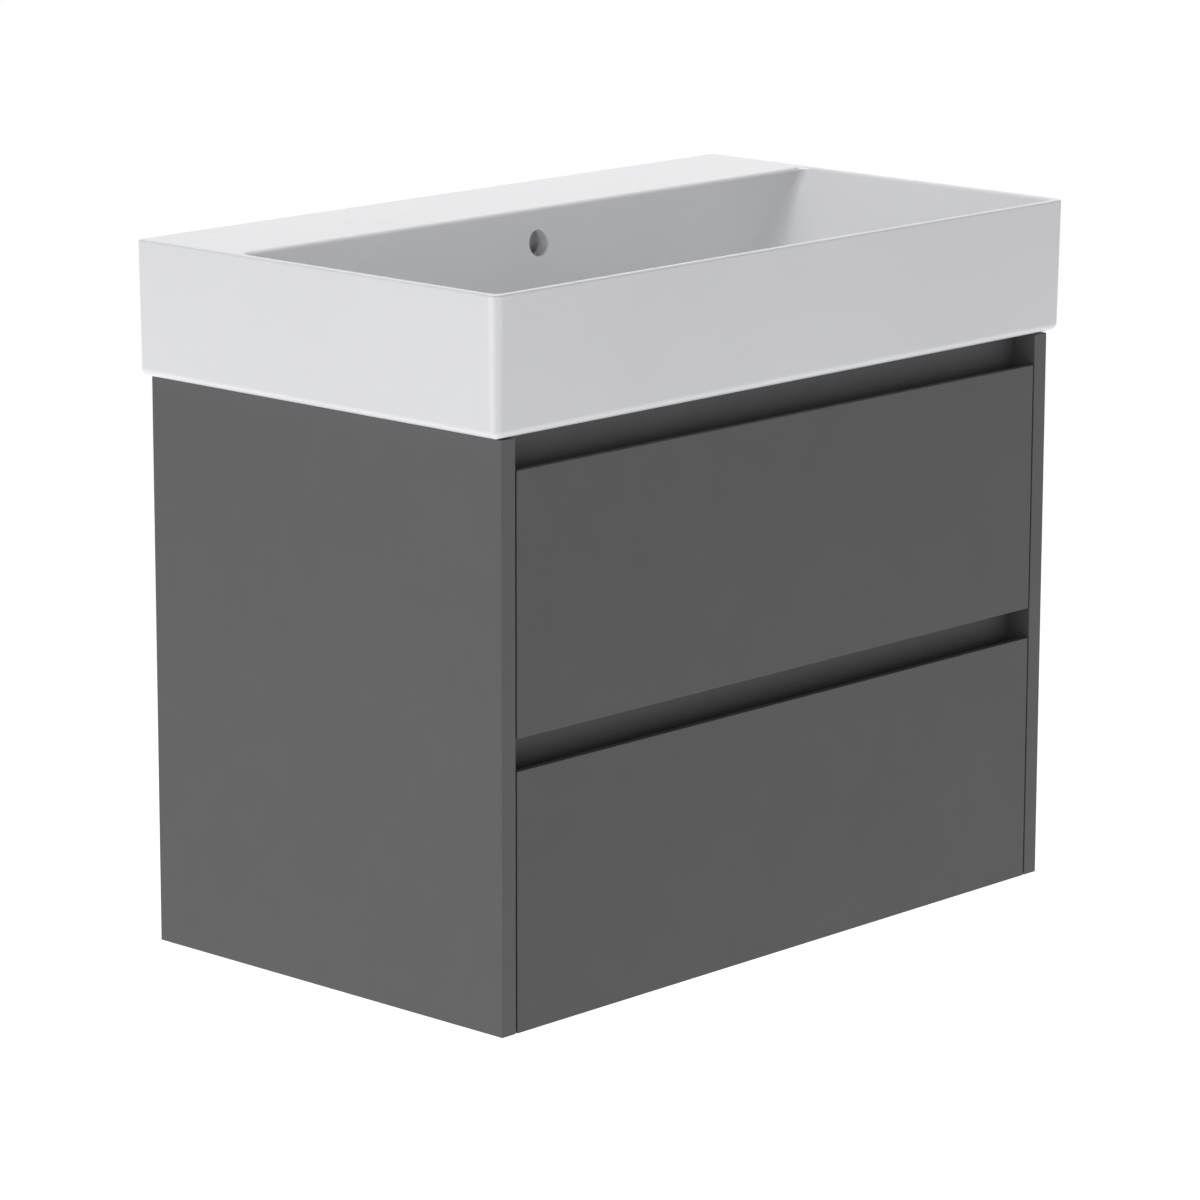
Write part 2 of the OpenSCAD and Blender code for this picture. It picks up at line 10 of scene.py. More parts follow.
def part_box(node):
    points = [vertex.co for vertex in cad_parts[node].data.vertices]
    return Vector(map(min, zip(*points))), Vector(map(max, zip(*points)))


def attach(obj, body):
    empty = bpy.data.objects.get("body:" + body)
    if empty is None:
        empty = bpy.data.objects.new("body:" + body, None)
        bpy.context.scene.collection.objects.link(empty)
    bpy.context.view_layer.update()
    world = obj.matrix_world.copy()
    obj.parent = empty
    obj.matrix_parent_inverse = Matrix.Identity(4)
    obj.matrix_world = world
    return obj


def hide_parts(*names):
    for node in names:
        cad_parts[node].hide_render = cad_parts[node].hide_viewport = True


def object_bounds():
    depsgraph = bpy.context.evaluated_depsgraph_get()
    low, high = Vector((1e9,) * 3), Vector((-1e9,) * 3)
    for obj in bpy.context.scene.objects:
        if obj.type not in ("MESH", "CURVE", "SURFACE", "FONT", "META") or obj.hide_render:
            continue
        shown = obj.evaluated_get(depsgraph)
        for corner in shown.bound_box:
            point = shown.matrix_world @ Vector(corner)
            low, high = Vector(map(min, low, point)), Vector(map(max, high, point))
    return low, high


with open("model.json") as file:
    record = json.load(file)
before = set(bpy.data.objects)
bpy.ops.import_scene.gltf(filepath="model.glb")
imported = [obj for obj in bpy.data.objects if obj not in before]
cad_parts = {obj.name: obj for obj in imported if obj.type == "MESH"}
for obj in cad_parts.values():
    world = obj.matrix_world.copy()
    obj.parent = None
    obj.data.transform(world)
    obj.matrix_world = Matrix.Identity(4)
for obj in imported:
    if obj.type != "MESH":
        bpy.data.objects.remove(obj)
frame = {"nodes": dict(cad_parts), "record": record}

CAD_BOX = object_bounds()
MM = 0.001
RECORD = frame["record"]
BODY_OF = {node: body for body, nodes in RECORD["behaviour"]["bodies"].items() for node in nodes}
SLOT_OF = {part["node"]: part["material_slot"] for part in RECORD["subparts"]}
NODES = list(BODY_OF)


# ---------------------------------------------------------------- materials
class Shader:
    """A material's node tree, with short calls for the nodes that it needs."""

    def __init__(self, name):
        self.material = bpy.data.materials.new(name)
        self.material.use_nodes = True
        self.tree = self.material.node_tree
        self.surface = self.tree.nodes["Principled BSDF"]
        self.place = self.node("ShaderNodeTexCoord").outputs["Object"]

    def node(self, kind, **settings):
        made = self.tree.nodes.new(kind)
        for key, value in settings.items():
            setattr(made, key, value)
        return made

    def link(self, source, target):
        self.tree.links.new(source, target)

    def stretched(self, scale, turn=(0, 0, 0)):
        """Object coordinates, stretched and turned."""
        mapping = self.node("ShaderNodeMapping")
        mapping.inputs["Scale"].default_value = scale
        mapping.inputs["Rotation"].default_value = turn
        self.link(self.place, mapping.inputs["Vector"])
        return mapping.outputs["Vector"]

    def noise(self, scale, detail=3.0, roughness=0.5, place=None):
        made = self.node("ShaderNodeTexNoise")
        made.inputs["Scale"].default_value = scale
        made.inputs["Detail"].default_value = detail
        made.inputs["Roughness"].default_value = roughness
        self.link(place or self.place, made.inputs["Vector"])
        return made.outputs["Fac"]

    def ranged(self, value, low, high, from_low=0.3, from_high=0.7):
        made = self.node("ShaderNodeMapRange")
        made.inputs["From Min"].default_value = from_low
        made.inputs["From Max"].default_value = from_high
        made.inputs["To Min"].default_value = low
        made.inputs["To Max"].default_value = high
        self.link(value, made.inputs["Value"])
        return made.outputs["Result"]

    def mixed(self, factor, first, second):
        made = self.node("ShaderNodeMix", data_type="RGBA")
        for socket, value in (("A", first), ("B", second)):
            target = [s for s in made.inputs if s.name == socket and s.type == "RGBA"][0]
            if isinstance(value, tuple):
                target.default_value = (*value, 1.0)
            else:
                self.link(value, target)
        self.link(factor, made.inputs["Factor"])
        return [s for s in made.outputs if s.type == "RGBA"][0]

    def added(self, first, second, weight):
        made = self.node("ShaderNodeMath", operation="MULTIPLY_ADD")
        self.link(second, made.inputs[0])
        made.inputs[1].default_value = weight
        self.link(first, made.inputs[2])
        return made.outputs["Value"]

    def bump(self, height, strength, distance):
        made = self.node("ShaderNodeBump")
        made.inputs["Strength"].default_value = strength
        made.inputs["Distance"].default_value = distance
        self.link(height, made.inputs["Height"])
        self.link(made.outputs["Normal"], self.surface.inputs["Normal"])

    def set(self, **values):
        for key, value in values.items():
            self.surface.inputs[key.replace("_", " ")].default_value = value

    def colour(self, value):
        self.link(value, self.surface.inputs["Base Color"])

    def rough(self, value):
        self.link(value, self.surface.inputs["Roughness"])


def shade(colour, factor):
    """The colour made darker or lighter."""
    return tuple(min(1.0, channel * factor) for channel in colour)


def board(name, colour, roughness, grain=0.12, wear=0.0):
    """Melamine or lacquer on board: fine pearl texture, faint mottling, and paler worn edges with wear."""
    s = Shader(name)
    mottle = s.noise(26.0, 5.0, 0.62)
    specks = s.noise(1400.0, 2.0, 0.5)
    base = s.mixed(s.ranged(mottle, 0.0, 1.0), shade(colour, 0.965), shade(colour, 1.035))
    base = s.mixed(s.ranged(specks, 0.0, 0.22, 0.35, 0.75), base, shade(colour, 1.16))
    if wear:
        rub = s.ranged(s.noise(70.0, 6.0, 0.7), 0.0, wear, 0.42, 0.66)
        base = s.mixed(rub, base, shade(colour, 2.1))
    s.colour(base)
    s.rough(s.ranged(s.noise(9.0, 4.0, 0.55), roughness - 0.035, roughness + 0.035))
    s.bump(s.added(s.noise(520.0, 3.0, 0.55), specks, 0.5), grain, 0.0003)
    s.set(Specular_IOR_Level=0.42)
    return s.material


def linen_board(name, colour):
    """Pale drawer board with a pressed linen weave of crossing threads."""
    s = Shader(name)
    threads = []
    for scale in ((2600.0, 160.0, 160.0), (160.0, 2600.0, 160.0), (160.0, 160.0, 2600.0)):
        threads.append(s.noise(1.0, 2.0, 0.5, s.stretched(scale)))
    weave = s.added(s.added(threads[0], threads[1], 1.0), threads[2], 1.0)
    s.colour(s.mixed(s.ranged(weave, 0.0, 1.0, 1.2, 1.8), shade(colour, 0.9), shade(colour, 1.06)))
    s.rough(s.ranged(s.noise(14.0, 3.0), 0.46, 0.56))
    s.bump(weave, 0.25, 0.0002)
    return s.material


def glaze(name, colour):
    """White glazed ceramic: a soft gloss, a slow ripple in the glaze, and fine pinholes."""
    s = Shader(name)
    tone = s.noise(7.0, 3.0, 0.5)
    pins = s.noise(900.0, 1.0, 0.4)
    base = s.mixed(s.ranged(tone, 0.0, 1.0), shade(colour, 0.985), shade(colour, 1.01))
    s.colour(s.mixed(s.ranged(pins, 0.0, 0.35, 0.76, 0.84), base, shade(colour, 0.9)))
    s.rough(s.ranged(s.noise(30.0, 4.0, 0.6), 0.19, 0.26))
    s.bump(s.noise(38.0, 2.0, 0.45), 0.035, 0.0006)
    s.set(Coat_Weight=0.12, Coat_Roughness=0.08, IOR=1.5)
    return s.material


def raw_clay(name, colour):
    """Unglazed fireclay under the basin, thinly splashed with glaze."""
    s = Shader(name)
    grit = s.noise(420.0, 5.0, 0.7)
    splash = s.ranged(s.noise(22.0, 4.0, 0.6), 0.0, 1.0, 0.44, 0.56)
    s.colour(s.mixed(splash, shade(colour, 0.86), colour))
    s.rough(s.ranged(grit, 0.62, 0.86))
    s.bump(grit, 0.5, 0.0004)
    return s.material


def steel(name, colour, roughness=0.34, along=(40.0, 4.0, 40.0)):
    """Zinc-plated sheet: streaks from rolling, cloudy spangle, and a dull patchy gloss."""
    s = Shader(name)
    streak = s.noise(14.0, 5.0, 0.6, s.stretched(along))
    cloud = s.noise(55.0, 4.0, 0.65)
    s.colour(s.mixed(s.ranged(cloud, 0.0, 1.0), shade(colour, 0.84), shade(colour, 1.08)))
    s.rough(s.added(s.ranged(streak, roughness - 0.08, roughness + 0.08), cloud, 0.08))
    s.bump(streak, 0.12, 0.0001)
    s.set(Metallic=1.0)
    return s.material


def plastic(name, colour, roughness=0.5, grain=900.0):
    """Moulded plastic with a spark-eroded texture and slightly uneven colour."""
    s = Shader(name)
    texture = s.noise(grain, 4.0, 0.6)
    s.colour(s.mixed(s.ranged(s.noise(60.0, 3.0), 0.0, 1.0), shade(colour, 0.94), shade(colour, 1.05)))
    s.rough(s.ranged(texture, roughness - 0.07, roughness + 0.07))
    s.bump(texture, 0.22, 0.00015)
    return s.material


def silicone(name, colour):
    """Translucent sealant with a tooled, slightly wavy surface."""
    s = Shader(name)
    s.colour(s.mixed(s.noise(90.0, 3.0), shade(colour, 0.94), colour))
    s.rough(s.ranged(s.noise(200.0, 3.0), 0.26, 0.4))
    s.bump(s.noise(160.0, 3.0), 0.3, 0.0005)
    s.set(Subsurface_Weight=0.3, Subsurface_Scale=0.002)
    return s.material


def timber(name, colour):
    """Raw beech, with grain along the dowels."""
    s = Shader(name)
    grain = s.noise(6.0, 6.0, 0.7, s.stretched((30.0, 260.0, 260.0)))
    s.colour(s.mixed(s.ranged(grain, 0.0, 1.0), shade(colour, 0.72), shade(colour, 1.08)))
    s.rough(s.ranged(grain, 0.55, 0.72))
    s.bump(grain, 0.3, 0.0003)
    return s.material


SIDE = (0.0875, 0.088, 0.091)
FRONT = (0.0765, 0.077, 0.080)
# The recess colour is the anthracite board made a little darker than the other melamine: painted shade for
# the finger recesses.
RECESS_SHADE_DARKENED = (0.075, 0.0755, 0.0785)
CARCASS = (0.093, 0.0935, 0.0965)
WHITE = (0.85, 0.854, 0.876)
ZINC = (0.62, 0.635, 0.65)

MATERIALS = {
    "side_panel": board("side_melamine", SIDE, 0.50),
    "front_panel": board("front_lacquer", FRONT, 0.46, grain=0.07),
    # The recess rails' melamine is darkened a little as painted shade in the finger recesses, on top of
    # the board's own colour.
    "recess_panel": board("recess_melamine_shade_darkened", RECESS_SHADE_DARKENED, 0.55),
    "carcass_panel": board("carcass_melamine", CARCASS, 0.52),
    "drawer_board": linen_board("drawer_linen_board", (0.50, 0.495, 0.48)),
    "dowel_wood": timber("beech_dowel", (0.60, 0.42, 0.25)),
    "glazed_ceramic": glaze("white_glaze", WHITE),
    "sealant": silicone("clear_sealant", (0.82, 0.82, 0.80)),
    "hanger_plastic": plastic("hanger_nylon", (0.62, 0.62, 0.60), 0.48),
    "damper_plastic": plastic("damper_plastic", (0.10, 0.105, 0.11), 0.42),
    "clip_plastic": plastic("clip_plastic", (0.16, 0.165, 0.17), 0.46),
    "lever_plastic": plastic("lever_plastic", (0.78, 0.20, 0.03), 0.4),
    "zinc_plate": steel("zinc_plate", ZINC, 0.36, (40.0, 40.0, 4.0)),
    "runner_steel": steel("runner_steel", shade(ZINC, 0.95), 0.33),
    "fastener_steel": steel("fastener_steel", shade(ZINC, 1.05), 0.28),
}
EDGES = {
    "side_panel": board("side_worn_arris", SIDE, 0.44, wear=0.35),
    "front_panel": board("front_worn_arris", FRONT, 0.42, grain=0.07, wear=0.35),
}


# ---------------------------------------------------------------- mesh helpers
def piece(name, mesh, materials):
    made = bpy.data.objects.new(name, mesh)
    bpy.context.scene.collection.objects.link(made)
    mesh.materials.clear()
    for material in materials:
        mesh.materials.append(material)
    return made


def stands_for(made, node):
    """The piece rides where its CAD node rides, and hides it."""
    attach(made, BODY_OF[node])
    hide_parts(node)
    return made


def smooth(made, angle=38.0):
    """Smooth shading with crisp edges, and normals that keep flat faces flat."""
    made.data.shade_smooth()
    made.data.set_sharp_from_angle(angle=math.radians(angle))
    weighted = made.modifiers.new("weighted", "WEIGHTED_NORMAL")
    weighted.keep_sharp = True
    weighted.weight = 80


def clean_copy(node):
    """The node's mesh with its flat faces whole again, as a bmesh."""
    bm = bmesh.new()
    bm.from_mesh(frame["nodes"][node].data)
    bmesh.ops.remove_doubles(bm, verts=bm.verts, dist=1e-6)
    bmesh.ops.dissolve_limit(bm, angle_limit=math.radians(0.2), verts=bm.verts, edges=bm.edges)
    return bm


def softened(node, width, shortest=3.5 * MM, segments=3):
    """The node's shape with its long edges rounded; holes keep their crisp rims."""
    bm = clean_copy(node)
    sharp = [e for e in bm.edges if len(e.link_faces) == 2 and e.calc_length() > shortest
             and e.calc_face_angle(0.0) > math.radians(30)]
    bmesh.ops.bevel(bm, geom=sharp, offset=width, segments=segments, profile=0.5,
                    affect="EDGES", clamp_overlap=True, material=1)
    mesh = bpy.data.meshes.new(node + "_mesh")
    bm.to_mesh(mesh)
    bm.free()
    slot = SLOT_OF[node]
    made = piece(node + "_soft", mesh, [MATERIALS[slot], EDGES.get(slot, MATERIALS[slot])])
    smooth(made)
    return stands_for(made, node)


def islands(node):
    """The boxes of a node's separate solids, as (low, high) pairs."""
    bm = bmesh.new()
    bm.from_mesh(frame["nodes"][node].data)
    bmesh.ops.remove_doubles(bm, verts=bm.verts, dist=1e-6)
    seen = set()
    boxes = []
    for start in bm.verts:
        if start in seen:
            continue
        group = []
        todo = [start]
        seen.add(start)
        while todo:
            vert = todo.pop()
            group.append(vert.co.copy())
            for edge in vert.link_edges:
                other = edge.other_vert(vert)
                if other not in seen:
                    seen.add(other)
                    todo.append(other)
        boxes.append((Vector(map(min, zip(*group))), Vector(map(max, zip(*group)))))
    bm.free()
    return boxes


def loft(name, rings, materials=()):
    """A closed skin through rings that all have the same number of points."""
    bm = bmesh.new()
    rows = [[bm.verts.new(point) for point in ring] for ring in rings]
    count = len(rows[0])
    for lower, upper in zip(rows, rows[1:]):
        for i in range(count):
            j = (i + 1) % count
            bm.faces.new((lower[i], lower[j], upper[j], upper[i]))
    bm.faces.new(reversed(rows[0]))
    bm.faces.new(rows[-1])
    bmesh.ops.recalc_face_normals(bm, faces=bm.faces)
    mesh = bpy.data.meshes.new(name)
    bm.to_mesh(mesh)
    bm.free()
    return piece(name, mesh, materials)


def lathe(name, profile, middle, direction, materials=(), steps=64):
    """A closed turned solid: profile is (radius, distance along direction) pairs, axis end to axis end."""
    turn = Vector((0, 0, 1)).rotation_difference(Vector(direction)).to_matrix()
    rings = []
    for radius, height in profile:
        angles = [2 * math.pi * i / steps for i in range(steps)]
        rings.append([turn @ Vector((radius * math.cos(a), radius * math.sin(a), height)) + Vector(middle)
                      for a in angles])
    return loft(name, rings, materials)


def box_solid(name, low, high, materials=()):
    """A box, used only as a cutter or as part of a larger casting."""
    corners = [(low[0], low[1]), (high[0], low[1]), (high[0], high[1]), (low[0], high[1])]
    return loft(name, [[(x, y, z) for x, y in corners] for z in (low[2], high[2])], materials)


def combine(target, tool, operation):
    """One exact boolean; the tool is used up."""
    change = target.modifiers.new("combine", "BOOLEAN")
    change.operation = operation
    change.solver = "EXACT"
    change.material_mode = "TRANSFER"
    change.object = tool
    bpy.context.view_layer.update()
    result = bpy.data.meshes.new_from_object(target.evaluated_get(bpy.context.evaluated_depsgraph_get()))
    target.modifiers.clear()
    target.data = result
    bpy.data.objects.remove(tool)


# ---------------------------------------------------------------- basin
BASIN_LOW, BASIN_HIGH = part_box("basin")
FOOT_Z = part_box("basin_sealant")[1].z
RIM_Z = BASIN_HIGH.z
HALF = BASIN_HIGH.x
DEPTH = -BASIN_LOW.y
RIM = 8 * MM
LEDGE = 132 * MM
BOWL_DEPTH = 104 * MM
SIDE_RUN = 78 * MM
FRONT_RUN = 34 * MM
REAR_RUN = 8 * MM
SKIN = 10 * MM
CORNER_R = 10 * MM
FOOT_R = 8.5 * MM
DRAFT = 2 * MM
ARRIS_R = 2.2 * MM
LIP_R = 4.5 * MM
BOWL_CORNER_R = 9 * MM
FLOOR_CORNER_R = 22 * MM
FLOOR_R = 24 * MM
FLOOR_FALL = 2 * MM
FLOOR_LOW = RIM_Z - BOWL_DEPTH - FLOOR_FALL
WASTE_Y = -215 * MM
WASTE_R = 23 * MM
SEAT_R = 32 * MM
SEAT_DROP = 3 * MM
BOSS_R = 36 * MM
OVERFLOW_Z = RIM_Z - 34 * MM
OVERFLOW_R = 12.5 * MM
OVERFLOW_LIP = 2.4 * MM
HOLLOW_EDGE = 50 * MM
HOLLOW_REAR = 75 * MM
OUTER_WALL = 12 * MM
DUCT_WALL = 8 * MM
DUCT_HALF = 16 * MM
DUCT_DEEP = 10 * MM
DUCT_HIGH = 12 * MM
BOLT_X = 140 * MM
BOLT_UP = 72 * MM
BOLT_R = 7 * MM
CORNER_STEPS = 10
SIDE_STEPS = 8


def rounded_ring(sides, corner_rs, heights):
    """A rounded rectangle. sides are left, right, front and rear; corner_rs are front and rear radii;
    heights are the side, front and rear heights, blended round the corners."""
    left, right, front, rear = sides
    front_r, rear_r = corner_rs
    side_z, front_z, rear_z = heights
    corners = [
        (right - front_r, front + front_r, front_r, -90, front_z, side_z),
        (right - rear_r, rear - rear_r, rear_r, 0, side_z, rear_z),
        (left + rear_r, rear - rear_r, rear_r, 90, rear_z, side_z),
        (left + front_r, front + front_r, front_r, 180, side_z, front_z),
    ]
    arcs = []
    for x, y, radius, start, z_from, z_to in corners:
        arc = []
        for i in range(CORNER_STEPS + 1):
            part = i / CORNER_STEPS
            angle = math.radians(start + 90 * part)
            blend = part * part * (3 - 2 * part)
            z = z_from + (z_to - z_from) * blend
            arc.append(Vector((x + radius * math.cos(angle), y + radius * math.sin(angle), z)))
        arcs.append(arc)
    ring = []
    for arc, following in zip(arcs, arcs[1:] + arcs[:1]):
        ring += arc
        ring += [arc[-1].lerp(following[0], i / SIDE_STEPS) for i in range(1, SIDE_STEPS)]
    return ring


def outer_rings():
    """The outside of the basin, from the foot up to the flat of the rim."""
    rings = []
    for angle in range(0, 91, 15):
        a = math.radians(angle)
        inset = DRAFT + FOOT_R * (1 - math.sin(a))
        z = FOOT_Z + FOOT_R * (1 - math.cos(a))
        rings.append(outer_ring(inset, z, 0.0))
    rings.append(outer_ring(0.0, RIM_Z - ARRIS_R, 0.0))
    for angle in (22.5, 45.0, 67.5, 90.0):
        a = math.radians(angle)
        inset = ARRIS_R * (1 - math.cos(a))
        rings.append(outer_ring(inset, RIM_Z - ARRIS_R * (1 - math.sin(a)), inset))
    return rings


def outer_ring(inset, z, rear_inset):
    """One level of the outside, drawn in by inset at the front and sides and by rear_inset behind."""
    corner = max(CORNER_R - inset, 0.8 * MM)
    sides = (inset - HALF, HALF - inset, inset - DEPTH, -rear_inset)
    return rounded_ring(sides, (corner, 2.5 * MM), (z, z, z))


def wall_profile(mouth, run, grow, lip):
    """One bowl wall as (distance from the middle, height) pairs, from the lip down to the floor."""
    lean = math.atan2(run, BOWL_DEPTH)
    cos_lean, sin_lean = math.cos(lean), math.sin(lean)
    mouth += grow / cos_lean
    floor_z = RIM_Z - BOWL_DEPTH - grow
    foot = mouth - (BOWL_DEPTH + grow) * math.tan(lean)
    points = []
    if lip:
        x = mouth + lip * (1 - sin_lean) / cos_lean
        for i in range(6):
            angle = math.pi / 2 + (lean - math.pi / 2) * i / 5
            points.append((x - lip * math.cos(angle), RIM_Z - lip + lip * math.sin(angle)))
    else:
        points.append((mouth, RIM_Z))
    radius = FLOOR_R + grow
    x = foot - radius * (1 - sin_lean) / cos_lean
    for i in range(9):
        angle = lean + (math.pi / 2 - lean) * i / 8
        points.append((x + radius * math.cos(angle), floor_z + radius - radius * math.sin(angle)))
    return points


def bowl_rings(grow=0.0, lip=0.0):
    """The bowl from its lip down to the edge of its floor; grow gives its outer skin."""
    middle_y = (RIM - DEPTH - LEDGE) / 2
    reach = (DEPTH - RIM - LEDGE) / 2
    side = wall_profile(HALF - RIM, SIDE_RUN, grow, lip)
    front = wall_profile(reach, FRONT_RUN, grow, lip)
    rear = wall_profile(reach, REAR_RUN, grow, lip)
    rings = []
    for (x, side_z), (f, front_z), (r, rear_z) in zip(side, front, rear):
        down = (RIM_Z - side_z) / BOWL_DEPTH
        corner = BOWL_CORNER_R + grow + (FLOOR_CORNER_R - BOWL_CORNER_R) * min(1.0, max(0.0, down))
        corners = (corner, corner)
        rings.append(rounded_ring((-x, x, middle_y - f, middle_y + r), corners, (side_z, front_z, rear_z)))
    return rings


def floor_rings(edge):
    """The floor falls gently from its edge to a level ring round the seat of the waste."""
    middle = Vector((0, WASTE_Y, 0))
    level_r = SEAT_R + 3.5 * MM
    rings = []
    for part in (0.12, 0.3, 0.5, 0.7, 0.86, 1.0):
        ring = []
        for point in edge:
            flat = Vector((point.x, point.y, 0))
            inner = middle + (flat - middle).normalized() * level_r
            spot = flat.lerp(inner, part)
            fall = part * part * (3 - 2 * part)
            ring.append(Vector((spot.x, spot.y, point.z + (FLOOR_LOW - point.z) * fall)))
        rings.append(ring)
    for reach in (SEAT_R, SEAT_R * 0.6):
        rings.append([middle + Vector((point.x, point.y - WASTE_Y, 0)).normalized() * reach
                      + Vector((0, 0, FLOOR_LOW)) for point in edge])
    return rings


def basin():
    """The casting: the outside and bowl in one skin, then the hollow, boss, duct, drain and holes."""
    glazed = [MATERIALS["glazed_ceramic"]]
    raw = [raw_clay("raw_fireclay", (0.74, 0.72, 0.68))]
    bowl = bowl_rings(lip=LIP_R)
    body = loft("ceramic_basin", outer_rings() + bowl + floor_rings(bowl[-1]), glazed)

    low_x = HOLLOW_EDGE - HALF
    hollow_top = RIM_Z - OUTER_WALL
    hollow = box_solid("hollow", (low_x, HOLLOW_EDGE - DEPTH, FOOT_Z - 5 * MM),
                       (-low_x, -HOLLOW_REAR, hollow_top), raw)
    wide = box_solid("wide", (OUTER_WALL - HALF, OUTER_WALL - DEPTH, FOOT_Z + OUTER_WALL),
                     (HALF - OUTER_WALL, -OUTER_WALL, hollow_top), raw)
    combine(hollow, wide, "UNION")
    combine(hollow, loft("skin", bowl_rings(grow=SKIN), raw), "DIFFERENCE")
    combine(body, hollow, "DIFFERENCE")

    boss_low = BASIN_LOW.z
    boss_high = FLOOR_LOW - 1 * MM
    waste = (0, WASTE_Y, 0)
    boss = [(BOSS_R - 2 * MM, boss_low), (BOSS_R, boss_low + 2 * MM), (BOSS_R, boss_high)]
    combine(body, lathe("boss", boss, waste, (0, 0, 1), raw), "UNION")
    duct_front = SKIN - LEDGE
    duct_low = boss_low + DUCT_WALL
    duct_top = OVERFLOW_Z + OVERFLOW_R
    for grow, operation in ((DUCT_WALL, "UNION"), (0.0, "DIFFERENCE")):
        half = DUCT_HALF + grow
        upright = box_solid("upright", (-half, duct_front - grow, duct_low - grow),
                            (half, duct_front + DUCT_DEEP + grow, duct_top + grow), glazed)
        combine(body, upright, operation)
        lying = box_solid("lying", (-half, WASTE_Y, duct_low - grow),
                          (half, duct_front + 1 * MM, duct_low + DUCT_HIGH + grow), raw)
        combine(body, lying, operation)

    seat_z = FLOOR_LOW - SEAT_DROP
    drain = [
        (WASTE_R + 1.5 * MM, boss_low - 1 * MM), (WASTE_R, boss_low + 1.5 * MM),
        (WASTE_R, seat_z - 2 * MM), (WASTE_R + 0.6 * MM, seat_z - 0.6 * MM), (WASTE_R + 2 * MM, seat_z),
        (SEAT_R - 2 * MM, seat_z), (SEAT_R - 0.6 * MM, seat_z + 0.5 * MM), (SEAT_R, seat_z + 2 * MM),
        (SEAT_R + 0.8 * MM, seat_z + SEAT_DROP - 0.6 * MM), (SEAT_R + 4 * MM, seat_z + SEAT_DROP + 1 * MM),
    ]
    combine(body, lathe("drain", drain, waste, (0, 0, 1), glazed, 72), "DIFFERENCE")

    lean = math.atan2(REAR_RUN, BOWL_DEPTH)
    surface_y = -LEDGE - (RIM_Z - OVERFLOW_Z) * math.tan(lean)
    mouth = [(OVERFLOW_R - 0.01 * MM, -18 * MM), (OVERFLOW_R, -OVERFLOW_LIP)]
    for angle in (25, 45, 62, 76):
        a = math.radians(angle)
        mouth.append((OVERFLOW_R + OVERFLOW_LIP * (1 - math.cos(a)), OVERFLOW_LIP * (math.sin(a) - 1)))
    mouth.append((mouth[-1][0] + 3 * MM, mouth[-1][1] + 1.5 * MM))
    out = (0, -math.cos(lean), math.sin(lean))
    combine(body, lathe("mouth", mouth, (0, surface_y, OVERFLOW_Z), out, glazed), "DIFFERENCE")
    for x in (-BOLT_X, BOLT_X):
        hole = [(BOLT_R, -2 * MM), (BOLT_R, 14 * MM)]
        combine(body, lathe("bolt", hole, (x, 0, FOOT_Z + BOLT_UP), (0, -1, 0), raw, 32), "DIFFERENCE")
    smooth(body, 32.0)
    return stands_for(body, "basin")


# ---------------------------------------------------------------- fasteners
def cross_recess(target, middle, out, size):
    """Cuts a cross into a screw's head; middle is on its face and out points away from it."""
    turn = Vector((0, 0, 1)).rotation_difference(Vector(out)).to_matrix().to_4x4()
    for quarter in (0, 1):
        blade = box_solid("blade", (-size, -size * 0.2, -size * 0.7), (size, size * 0.2, size))
        spin = Matrix.Rotation(math.radians(45 + 90 * quarter), 4, "Z")
        blade.data.transform(Matrix.Translation(Vector(middle)) @ turn @ spin)
        combine(target, blade, "DIFFERENCE")


def screw(name, low, high, axis, out, shank_r, head_r, head_h):
    """A cross-recess screw in its node's box: axis is 0, 1 or 2, and out is the head's side, -1 or 1."""
    middle = (low + high) / 2
    direction = Vector([out if i == axis else 0 for i in range(3)])
    length = high[axis] - low[axis]
    tip = middle - direction * (length / 2)
    profile = [(0.2 * shank_r, 0.0), (shank_r * 0.9, 2 * shank_r)]
    pitch = 0.6 * shank_r
    turns = int((length - head_h - 3 * shank_r) / pitch)
    for i in range(max(turns, 1)):
        height = 2 * shank_r + i * pitch
        profile += [(shank_r * 0.8, height + 0.15 * shank_r), (shank_r, height + 0.35 * shank_r)]
    if head_h:
        seat = length - head_h
        profile += [(shank_r, seat), (head_r, seat + 0.02 * MM), (head_r, seat + 0.35 * head_h)]
        for angle in (35, 60, 80):
            a = math.radians(angle)
            across = 0.35 + 0.65 * math.cos(a)
            up = 0.35 + 0.65 * math.sin(a)
            profile.append((head_r * across, seat + head_h * up))
        profile.append((head_r * 0.3, length))
    else:
        profile += [(shank_r, length - 0.3 * MM), (shank_r - 0.3 * MM, length)]
    made = lathe(name, profile, tip, direction, [MATERIALS["fastener_steel"]], 28)
    recess = head_r * 0.55 if head_h else shank_r * 0.7
    cross_recess(made, middle + direction * (length / 2), direction, recess)
    return made


def joined(name, parts):
    """Several meshes as one piece."""
    bm = bmesh.new()
    for part in parts:
        bm.from_mesh(part.data)
    material = parts[0].data.materials[0]
    mesh = bpy.data.meshes.new(name)
    bm.to_mesh(mesh)
    bm.free()
    for part in parts:
        bpy.data.objects.remove(part)
    return piece(name, mesh, [material])


def fasteners():
    """A detailed screw for each solid of the screw nodes, joined into one piece for each node."""
    for node, axis, shank_r, head_r, head_h in (
        ("runner_screws", 0, 2 * MM, 4 * MM, 2 * MM),
        ("upper_front_screws", 1, 2 * MM, 4 * MM, 2 * MM),
        ("lower_front_screws", 1, 2 * MM, 4 * MM, 2 * MM),
        ("hanger_adjusters", 1, 3 * MM, 3 * MM, 0.0),
    ):
        parts = []
        for low, high in islands(node):
            if axis == 0:
                out = -1 if low.x > 0 else 1
            else:
                out = -1 if node == "hanger_adjusters" else 1
            parts.append(screw(node + "_one", low, high, axis, out, shank_r, head_r, head_h))
        made = joined(node + "_threaded", parts)
        smooth(made)
        stands_for(made, node)


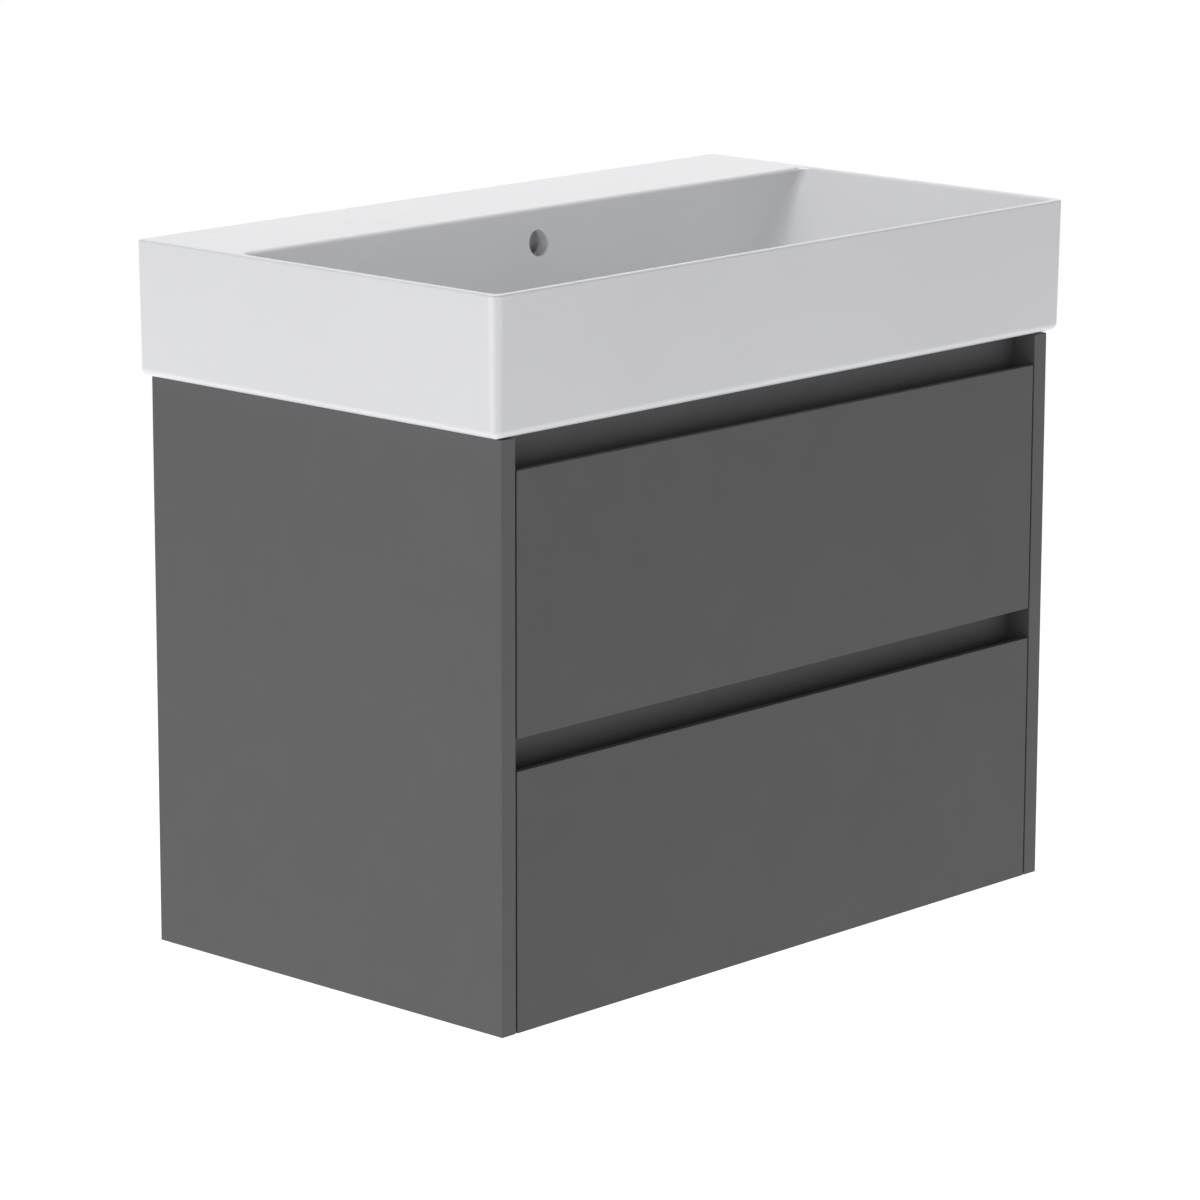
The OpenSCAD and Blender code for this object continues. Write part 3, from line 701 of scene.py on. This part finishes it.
# ---------------------------------------------------------------- the rest of the object
SOFT_EDGES = {
    "side_panel": 0.9 * MM,
    "front_panel": 0.9 * MM,
    "recess_panel": 0.7 * MM,
    "carcass_panel": 0.6 * MM,
    "drawer_board": 0.9 * MM,
    "dowel_wood": 0.4 * MM,
    "sealant": 0.5 * MM,
    "hanger_plastic": 1.2 * MM,
    "damper_plastic": 0.8 * MM,
    "clip_plastic": 0.6 * MM,
    "lever_plastic": 0.6 * MM,
    "zinc_plate": 0.5 * MM,
    "runner_steel": 0.4 * MM,
    "fastener_steel": 0.3 * MM,
}
DETAILED = {"basin", "runner_screws", "upper_front_screws", "lower_front_screws", "hanger_adjusters"}

basin()
fasteners()
for node_name in NODES:
    if node_name not in DETAILED:
        softened(node_name, SOFT_EDGES[SLOT_OF[node_name]])


# ---------------------------------------------------------------- studio
CAMERA_PLACE = (-3.6630, -3.6437, 0.9795)
CAMERA_YAW = 0.8186
CAMERA_PITCH = -0.2226
CAMERA_ROLL = 0.0023
LENS_MM = 158.65
FLOOR_BELOW = 0.45
FLOOR_HALF = 3.2
FLOOR_GLOW = 0.80
SKY_ON_SURFACES = 0.13


def camera():
    """A long lens from the front left and slightly above."""
    data = bpy.data.cameras.new("camera")
    data.sensor_width = 36.0
    data.lens = LENS_MM
    data.clip_end = 50.0
    made = bpy.data.objects.new("camera", data)
    made.matrix_world = (Matrix.Translation(CAMERA_PLACE) @ Matrix.Rotation(-CAMERA_YAW, 4, "Z")
                         @ Matrix.Rotation(math.pi / 2 + CAMERA_PITCH, 4, "X")
                         @ Matrix.Rotation(CAMERA_ROLL, 4, "Z"))
    bpy.context.scene.collection.objects.link(made)
    bpy.context.scene.camera = made


def soft_light(name, place, target, size, power):
    """A rectangular softbox that lights its target and stays out of the picture."""
    data = bpy.data.lights.new(name, "AREA")
    data.shape = "RECTANGLE"
    data.size, data.size_y = size
    data.energy = power
    made = bpy.data.objects.new(name, data)
    made.location = place
    made.rotation_euler = (Vector(target) - Vector(place)).to_track_quat("-Z", "Y").to_euler()
    made.visible_camera = False
    bpy.context.scene.collection.objects.link(made)


def studio():
    """A pale floor that glows a little, a white sky that hardly lights surfaces, and three softboxes."""
    floor_z = CAD_BOX[0][2] - FLOOR_BELOW
    low, high = -FLOOR_HALF, FLOOR_HALF
    corners = [(low, low, floor_z), (high, low, floor_z), (high, high, floor_z), (low, high, floor_z)]
    mesh = bpy.data.meshes.new("studio_floor")
    mesh.from_pydata(corners, [], [(0, 1, 2, 3)])
    s = Shader("studio_floor")
    s.colour(s.mixed(s.noise(2.0, 3.0), (0.49, 0.49, 0.49), (0.51, 0.51, 0.51)))
    s.set(Roughness=0.9, Specular_IOR_Level=0.1, Emission_Strength=FLOOR_GLOW)
    s.surface.inputs["Emission Color"].default_value = (1.0, 1.0, 1.0, 1.0)
    clear = s.node("ShaderNodeBsdfTransparent")
    one_sided = s.node("ShaderNodeMixShader")
    s.link(s.node("ShaderNodeNewGeometry").outputs["Backfacing"], one_sided.inputs["Fac"])
    s.link(s.surface.outputs["BSDF"], one_sided.inputs[1])
    s.link(clear.outputs["BSDF"], one_sided.inputs[2])
    s.link(one_sided.outputs["Shader"], s.tree.nodes["Material Output"].inputs["Surface"])
    floor = piece("studio_floor", mesh, [s.material])

    world = bpy.data.worlds.new("studio")
    world.use_nodes = True
    tree = world.node_tree
    path = tree.nodes.new("ShaderNodeLightPath")
    level = tree.nodes.new("ShaderNodeMapRange")
    level.inputs["To Min"].default_value = 1.0
    level.inputs["To Max"].default_value = SKY_ON_SURFACES
    tree.links.new(path.outputs["Is Diffuse Ray"], level.inputs["Value"])
    tree.nodes["Background"].inputs["Color"].default_value = (1.0, 1.0, 1.0, 1.0)
    tree.links.new(level.outputs["Result"], tree.nodes["Background"].inputs["Strength"])
    bpy.context.scene.world = world
    bpy.context.scene.view_settings.view_transform = "Standard"

    soft_light("key", (-4.0, -0.25, 0.05), (0, -0.25, -0.1), (5.0, 1.9), 64.0)
    soft_light("fill", (0.3, -4.2, 0.05), (0, -0.25, -0.1), (4.4, 1.9), 24.0)
    soft_light("top", (0.75, 1.0, 4.8), (0, -0.25, 0), (4.4, 2.0), 178.0)


camera()
studio()
